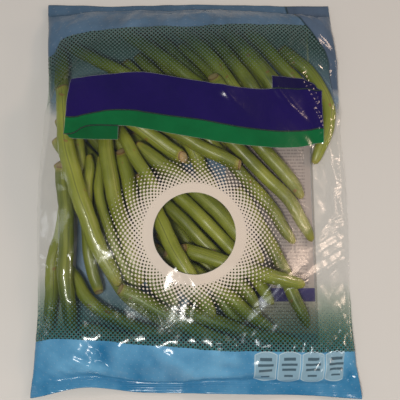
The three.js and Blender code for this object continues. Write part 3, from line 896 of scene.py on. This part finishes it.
def makeBackMaterial(crinkles):
    look = filmLook
    material, tree, out = newMaterial("backFilm")
    x, y = printPlace(tree)
    panel = patch(tree, x, y, *backPrint["panel"])
    rows = times(tree, y, 1 / backPrint["rowPitch"])
    spot = put(tree, "CombineXYZ", {0: times(tree, x, 1.1), 1: sums(tree, "FLOOR", rows)})
    words = put(tree, "TexNoise", {"Vector": spot.outputs[0], "Scale": 1.0, "Detail": 1.0}).outputs["Fac"]
    inRow = inside(tree, sums(tree, "FRACT", rows), 0.3, 0.72)
    marks = times(tree, inRow, ramp(tree, words, 0.42, 0.48))
    marks = times(tree, times(tree, marks, inside(tree, x, *backPrint["rowEnds"])), panel)
    colour = blend(tree, panel, look["backBlue"], look["panel"])
    colour = blend(tree, times(tree, marks, 0.6), colour, look["panelInk"])
    colour = blend(tree, patch(tree, x, y, *backPrint["strip"]), colour, look["panelStrip"])
    lap = inside(tree, x, *backPrint["lap"])
    colour = blend(tree, lap, colour, look["cream"])
    tint = most(tree, inside(tree, x, *backPrint["tint"]), ramp(tree, y, *backPrint["tintTop"]))
    cover = most(tree, times(tree, panel, 0.9), times(tree, tint, 0.6))
    cover = most(tree, cover, times(tree, lap, 0.5))
    clearness = sums(tree, "SUBTRACT", 1, most(tree, panel, tint), clamp=True)
    shade = blend(tree, tint, look["clearShade"], backPrint["tintShade"])
    finishFilm(tree, out, crinkles, {"Seals": sealMask(tree)}, colour, cover, clearness, shade)
    return material


studio = {
    "floor": (0.62, 0.60, 0.57),
    "world": (0.90, 0.92, 0.95),
    "worldStrength": 0.31,
    "lights": (  # name, place, width and depth, power, colour
        ("key", (-0.15, -0.34, 0.90), (0.32, 0.14), 5.2, (1.0, 0.96, 0.90)),
        ("side", (0.68, -0.40, 0.90), (0.12, 0.12), 0.7, (0.96, 0.98, 1.0)),
        ("right", (0.92, 0.36, 0.70), (0.22, 0.22), 2.4, (1.0, 0.72, 0.54)),
        ("low", (1.10, 0.00, 0.45), (0.20, 0.20), 1.4, (1.0, 0.72, 0.54)),
        ("left", (-1.10, 0.10, 0.38), (0.24, 0.24), 0.35, (0.93, 0.96, 1.0)),
    ),
    "tilt": 13,  # degrees from straight down
    "distance": 0.46,
    "aim": (0.00325, -0.0081, 0.008),
    "lens": 64.69,
}


def makeStudio():
    material, tree, out = newMaterial("studioFloor")
    place = put(tree, "TexCoord").outputs["Object"]
    cloud = put(tree, "TexNoise", {"Vector": place, "Scale": 6.0, "Detail": 3.0}).outputs["Fac"]
    dark = tuple(c * 0.96 for c in studio["floor"])
    colour = blend(tree, cloud, dark, studio["floor"])
    shader = put(tree, "BsdfPrincipled", {"Base Color": colour, "Roughness": 0.6})
    tree.links.new(shader.outputs[0], out.inputs["Surface"])
    bm = bmesh.new()
    bmesh.ops.create_grid(bm, x_segments=4, y_segments=4, size=2)
    bmesh.ops.translate(bm, vec=(0, 0, -0.0005), verts=bm.verts)
    mesh = bpy.data.meshes.new("floor")
    bm.to_mesh(mesh)
    bm.free()
    mesh.materials.append(material)
    floor = bpy.data.objects.new("floor", mesh)
    scene.collection.objects.link(floor)

    world = bpy.data.worlds.new("studio")
    world.use_nodes = True
    backdrop = world.node_tree.nodes["Background"]
    backdrop.inputs["Color"].default_value = (*studio["world"], 1)
    backdrop.inputs["Strength"].default_value = studio["worldStrength"]
    scene.world = world

    for name, place, sizes, power, colour in studio["lights"]:
        light = bpy.data.lights.new(name, "AREA")
        light.shape = "ELLIPSE"
        light.size, light.size_y = sizes
        light.energy = power
        light.color = colour
        lamp = bpy.data.objects.new(name, light)
        lamp.location = place
        lamp.rotation_euler = (-Vector(place)).to_track_quat("-Z", "Y").to_euler()
        scene.collection.objects.link(lamp)

    tilt = math.radians(studio["tilt"])
    camera = bpy.data.objects.new("camera", bpy.data.cameras.new("camera"))
    camera.data.sensor_width = 36
    camera.data.lens = studio["lens"]
    away = Vector((0, -math.sin(tilt), math.cos(tilt)))
    camera.location = Vector(studio["aim"]) + studio["distance"] * away
    camera.rotation_euler = (tilt, 0, 0)
    scene.collection.objects.link(camera)
    scene.camera = camera
    scene.view_settings.view_transform = "Standard"


makeStudio()
print("studio ready")

beanMaterial = makeBeanMaterial()
beanNodes = [node for name, node in sorted(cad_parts.items()) if name.startswith("bean_")]
for number, node in enumerate(beanNodes, 1):
    makeBean(f"bean{number:02d}", node, beanMaterial)
print("beans laid:", len(beanNodes))

crinkles = makeCrinkleGroup()
makeFilm(makeFrontMaterial(makeDotsGroup(), crinkles), makeBackMaterial(crinkles))
print("film draped")
